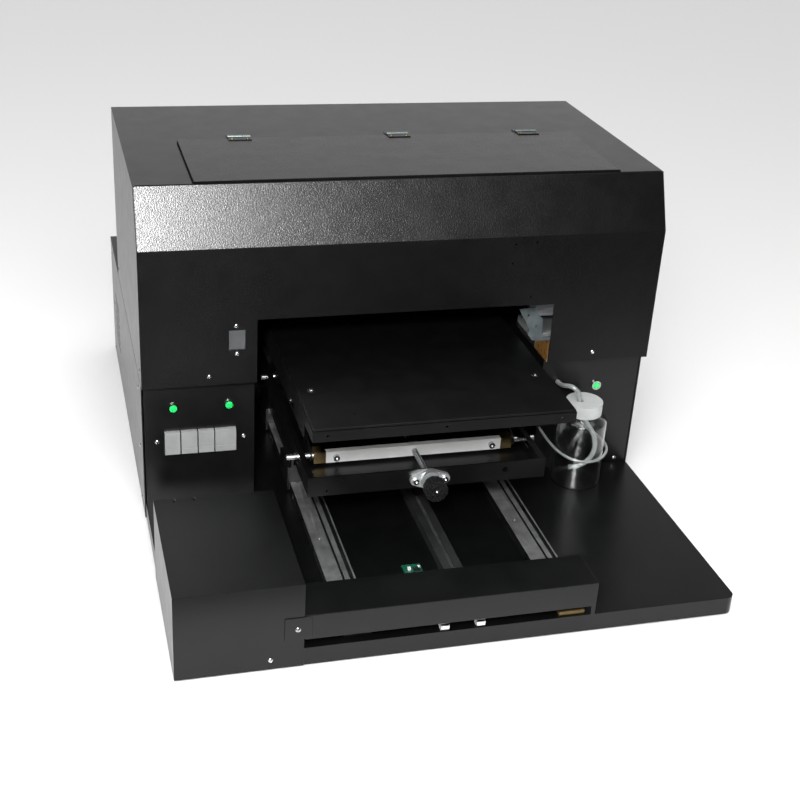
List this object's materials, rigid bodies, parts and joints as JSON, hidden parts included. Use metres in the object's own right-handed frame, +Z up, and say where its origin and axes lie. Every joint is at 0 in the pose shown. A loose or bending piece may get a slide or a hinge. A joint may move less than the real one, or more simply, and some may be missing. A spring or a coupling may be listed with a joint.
{
  "type": "flatbed uv printer",
  "caption": "Sheet-metal flatbed UV printer: a table on rails carries a platen on a scissor lift under a hood that holds the print head; lid, keys and waste bottle.",
  "frame": {"origin": "on the floor under the middle of the printer's footprint", "axes": "+Z up, +Y from the front lip towards the rear panel along the table's travel, +X to the right seen from the front"},
  "size_m": [0.723, 0.936, 0.4794],
  "materials": {
    "black_powder": "fine-texture black powder coat on sheet steel",
    "black_texture": "coarse glittering black powder coat",
    "black_satin": "smooth satin black paint",
    "lid_paint": "satin black paint",
    "black_steel": "black oxide and paint on steel",
    "smoked_window": "smoked translucent plate",
    "screw_steel": "nickel-plated steel",
    "rail_aluminium": "anodised extruded aluminium",
    "machined_aluminium": "machined aluminium",
    "belt_rubber": "matte toothed belt",
    "motor_housing": "black motor housing",
    "fitting_nylon": "white nylon and circuit board",
    "shaft_steel": "ground steel",
    "cast_housing": "bead-blasted alloy",
    "brass": "machined brass",
    "black_plastic": "moulded black plastic",
    "platen_anodised": "black anodised aluminium, fine satin",
    "key_grey": "light grey moulded plastic",
    "button_green": "bright green gloss plastic",
    "chrome_trim": "chromed ring",
    "zinc_plate": "zinc-plated sheet steel",
    "head_metal": "brushed steel head housing",
    "rocker_red": "red gloss plastic",
    "clear_plastic": "clear plastic bottle",
    "white_plastic": "white moulded plastic",
    "tube_silicone": "milky translucent silicone tube",
    "foot_rubber": "black rubber"
  },
  "bodies": {
    "body": {"base_pan": "black_powder", "feet": "foot_rubber", "left_box_cover": "black_powder", "front_cover": "black_powder", "left_leg": "black_satin", "right_leg": "black_satin", "side_panels": "black_powder", "rear_panel": "black_powder", "rear_cover": "black_powder", "hood_shell": "black_powder", "hood_front": "black_texture", "window_plate": "smoked_window", "hinge_fixed_leaves": "black_steel", "body_screws": "screw_steel", "rails": "rail_aluminium", "belt_channel": "black_steel", "drive_belt": "belt_rubber", "y_motor": "motor_housing", "base_fittings": "fitting_nylon", "switch_block": "black_plastic", "button_bezels": "chrome_trim", "mech_chassis": "black_steel", "guide_rod": "shaft_steel", "cap_station": "zinc_plate", "fan_frame": "black_plastic", "power_inlet": "black_plastic", "waste_bottle": "clear_plastic", "bottle_cap": "white_plastic", "waste_tube": "tube_silicone", "drain_tube": "tube_silicone"},
    "lid": {"top_lid": "lid_paint", "hinge_lid_leaves": "black_steel"},
    "table": {"table_carriage": "black_steel", "belt_clamp": "machined_aluminium", "lift_tray": "black_satin", "rear_shaft": "shaft_steel", "flange_bearing": "cast_housing"},
    "platen": {"platen_frame": "black_satin", "platen_plate": "platen_anodised", "platen_screws": "screw_steel"},
    "moving_bar": {"lift_bar": "machined_aluminium", "front_shafts": "shaft_steel", "brass_fittings": "brass"},
    "knob": {"lead_screw": "shaft_steel", "lift_knob": "black_plastic"},
    "front_link_pair": {"front_links": "black_steel"},
    "rear_link_pair": {"rear_links": "black_steel"},
    "head": {"head_carriage": "black_plastic", "print_head": "head_metal"},
    "idler": {"idler_pulley": "machined_aluminium"},
    "motor_wheel": {"motor_pulley": "machined_aluminium"},
    "fan": {"fan_rotor": "black_plastic"},
    "rocker": {"power_rocker": "rocker_red"},
    "key_body_1": {"key_1": "key_grey"},
    "key_body_2": {"key_2": "key_grey"},
    "key_body_3": {"key_3": "key_grey"},
    "key_body_4": {"key_4": "key_grey"},
    "button_body_left": {"button_left": "button_green"},
    "button_body_middle": {"button_middle": "button_green"},
    "button_body_right": {"button_right": "button_green"}
  },
  "joints": [
    {"name": "table_slide", "type": "slide", "parent": "body", "child": "table", "axis": [0, 1, 0], "range_m": [-0.27, 0.3]},
    {"name": "platen_lift", "type": "slide", "parent": "table", "child": "platen", "axis": [0, 0, 1], "range_m": [-0.05, 0]},
    {"name": "bar_slide", "type": "slide", "parent": "table", "child": "moving_bar", "axis": [0, 1, 0], "range_m": [-0.013, 0.0005]},
    {"name": "front_links_turn", "type": "hinge", "parent": "moving_bar", "child": "front_link_pair", "pos_m": [0, -0.17336, 0.119], "axis": [1, 0, 0], "range_deg": [-12, 0.5]},
    {"name": "rear_links_turn", "type": "hinge", "parent": "table", "child": "rear_link_pair", "pos_m": [0, 0.072, 0.119], "axis": [1, 0, 0], "range_deg": [-0.5, 12]},
    {"name": "knob_turn", "type": "hinge", "parent": "table", "child": "knob", "pos_m": [0, -0.28, 0.119], "axis": [0, 1, 0], "range_deg": [-1100, 10]},
    {"name": "lid_hinge", "type": "hinge", "parent": "body", "child": "lid", "pos_m": [0, 0.1095, 0.4772], "axis": [-1, 0, 0], "range_deg": [0, 100]},
    {"name": "head_slide", "type": "slide", "parent": "body", "child": "head", "axis": [1, 0, 0], "range_m": [-0.45, 0]},
    {"name": "idler_spin", "type": "hinge", "parent": "body", "child": "idler", "pos_m": [0.01, -0.425, 0.022], "axis": [1, 0, 0], "range_deg": [-1500, 1500]},
    {"name": "motor_wheel_spin", "type": "hinge", "parent": "body", "child": "motor_wheel", "pos_m": [0.01, 0.425, 0.022], "axis": [1, 0, 0], "range_deg": [-1500, 1500]},
    {"name": "fan_spin", "type": "hinge", "parent": "body", "child": "fan", "pos_m": [-0.26, 0.4515, 0.11], "axis": [0, 1, 0], "continuous": true},
    {"name": "rocker_tip", "type": "hinge", "parent": "body", "child": "rocker", "pos_m": [0.265, 0.463, 0.0965], "axis": [1, 0, 0], "range_deg": [0, 14]},
    {"name": "key_1_press", "type": "slide", "parent": "body", "child": "key_body_1", "axis": [0, 1, 0], "range_m": [0, 0.003], "stiffness_N_per_m": 400},
    {"name": "key_2_press", "type": "slide", "parent": "body", "child": "key_body_2", "axis": [0, 1, 0], "range_m": [0, 0.003], "stiffness_N_per_m": 400},
    {"name": "key_3_press", "type": "slide", "parent": "body", "child": "key_body_3", "axis": [0, 1, 0], "range_m": [0, 0.003], "stiffness_N_per_m": 400},
    {"name": "key_4_press", "type": "slide", "parent": "body", "child": "key_body_4", "axis": [0, 1, 0], "range_m": [0, 0.003], "stiffness_N_per_m": 400},
    {"name": "button_left_press", "type": "slide", "parent": "body", "child": "button_body_left", "axis": [0, 1, 0], "range_m": [0, 0.002], "stiffness_N_per_m": 400},
    {"name": "button_middle_press", "type": "slide", "parent": "body", "child": "button_body_middle", "axis": [0, 1, 0], "range_m": [0, 0.002], "stiffness_N_per_m": 400},
    {"name": "button_right_press", "type": "slide", "parent": "body", "child": "button_body_right", "axis": [0, 1, 0], "range_m": [0, 0.002], "stiffness_N_per_m": 400}
  ],
  "couplings": [
    {"joint": "bar_slide", "follows": "platen_lift", "ratio": 0.2426},
    {"joint": "front_links_turn", "follows": "platen_lift", "rad_per_m": 3.9654},
    {"joint": "rear_links_turn", "follows": "platen_lift", "rad_per_m": -3.9654},
    {"joint": "knob_turn", "follows": "platen_lift", "rad_per_m": 381.07},
    {"joint": "idler_spin", "follows": "table_slide", "rad_per_m": -85.1},
    {"joint": "motor_wheel_spin", "follows": "table_slide", "rad_per_m": -85.1}
  ]
}
